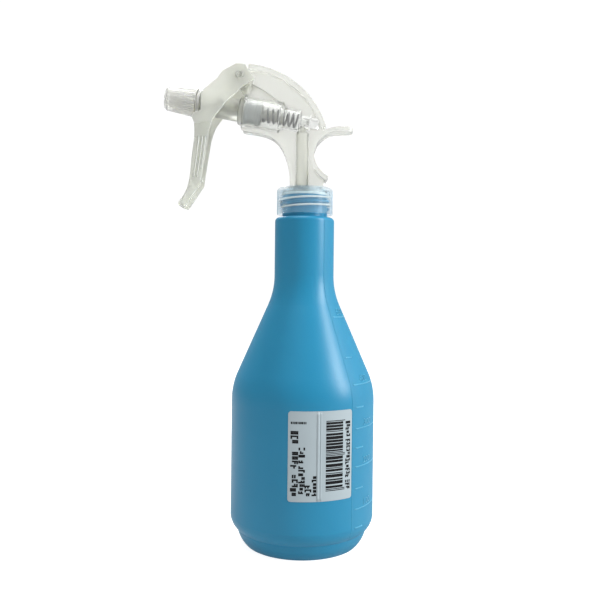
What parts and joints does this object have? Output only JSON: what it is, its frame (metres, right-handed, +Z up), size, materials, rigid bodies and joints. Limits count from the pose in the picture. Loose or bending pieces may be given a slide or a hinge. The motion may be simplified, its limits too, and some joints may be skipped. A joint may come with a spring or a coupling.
{
  "type": "trigger spray bottle",
  "caption": "Blow-moulded bottle with a long neck, screwed to a hand-trigger sprayer with an open arched frame, a clear pump cylinder and an adjustable nozzle.",
  "frame": {"origin": "centre of the bottle's standing ring, on the bottle's axis", "axes": "+Z up along the bottle's axis; the nozzle points to -X; the label faces -Y; the object is symmetric about the XZ plane apart from the label, the threads and the valve details"},
  "size_m": [0.1184, 0.0791, 0.264],
  "materials": {
    "bottle_plastic": "satin blow-moulded HDPE, sky blue",
    "label_paper": "coated paper",
    "closure_plastic": "natural translucent polypropylene",
    "gasket_rubber": "matt white elastomer",
    "frame_plastic": "natural translucent polypropylene",
    "ball_steel": "polished stainless steel",
    "tube_plastic": "translucent polyethylene tube",
    "clear_plastic": "clear glossy polypropylene",
    "spring_steel": "drawn stainless wire",
    "piston_plastic": "grey polyethylene",
    "rod_plastic": "natural polypropylene",
    "nozzle_plastic": "natural translucent polypropylene",
    "trigger_plastic": "natural translucent polypropylene"
  },
  "bodies": {
    "bottle": {"bottle": "bottle_plastic", "bottle_label": "label_paper"},
    "head": {"sprayer_frame": "frame_plastic", "tube_adapter": "frame_plastic", "ball_cage": "frame_plastic", "dip_tube": "tube_plastic", "neck_gasket": "gasket_rubber", "pump_cylinder": "clear_plastic", "cylinder_plug": "clear_plastic", "rod_guide": "frame_plastic", "return_spring": "spring_steel"},
    "closure": {"closure_cap": "closure_plastic"},
    "intake_ball": {"intake_ball": "ball_steel"},
    "trigger": {"trigger": "trigger_plastic"},
    "plunger": {"piston_rod": "rod_plastic", "piston": "piston_plastic", "nozzle_body": "rod_plastic", "nozzle_seal": "gasket_rubber", "spinner": "rod_plastic", "discharge_spring": "spring_steel"},
    "discharge_valve": {"discharge_valve": "rod_plastic"},
    "cap_gasket": {"cap_gasket": "gasket_rubber"},
    "nozzle_cap": {"nozzle_cap": "nozzle_plastic"}
  },
  "joints": [
    {"name": "head_lift", "type": "slide", "parent": "bottle", "child": "head", "axis": [0, 0, 1], "range_m": [0, 0.00529]},
    {"name": "closure_turn", "type": "hinge", "parent": "head", "child": "closure", "pos_m": [0, 0, 0.189], "axis": [0, 0, 1], "range_deg": [0, 450]},
    {"name": "trigger_pull", "type": "hinge", "parent": "head", "child": "trigger", "pos_m": [-0.0362, 0, 0.2564], "axis": [0, -1, 0], "range_deg": [0, 24], "stiffness_Nm_per_rad": 1, "springref_deg": -20.05},
    {"name": "pump_stroke", "type": "slide", "parent": "head", "child": "plunger", "axis": [0.9863, 0, -0.165], "range_m": [0, 0.0079], "deforming": ["return_spring"]},
    {"name": "discharge_lift", "type": "slide", "parent": "plunger", "child": "discharge_valve", "axis": [-0.9863, 0, 0.165], "range_m": [0, 0.0008], "stiffness_N_per_m": 100, "springref_m": -0.002, "deforming": ["discharge_spring"]},
    {"name": "intake_lift", "type": "slide", "parent": "head", "child": "intake_ball", "axis": [0, 0, 1], "range_m": [0, 0.0014]},
    {"name": "nozzle_advance", "type": "slide", "parent": "plunger", "child": "cap_gasket", "axis": [-0.9863, 0, 0.165], "range_m": [0, 0.002]},
    {"name": "nozzle_turn", "type": "hinge", "parent": "cap_gasket", "child": "nozzle_cap", "pos_m": [-0.068, 0, 0.24423], "axis": [-0.9863, 0, 0.165], "range_deg": [0, 360]}
  ],
  "couplings": [
    {"joint": "closure_turn", "follows": "head_lift", "rad_per_m": 1484.2},
    {"joint": "pump_stroke", "follows": "trigger_pull", "m_per_rad": 0.0186},
    {"joint": "nozzle_turn", "follows": "nozzle_advance", "rad_per_m": 3141.6}
  ]
}
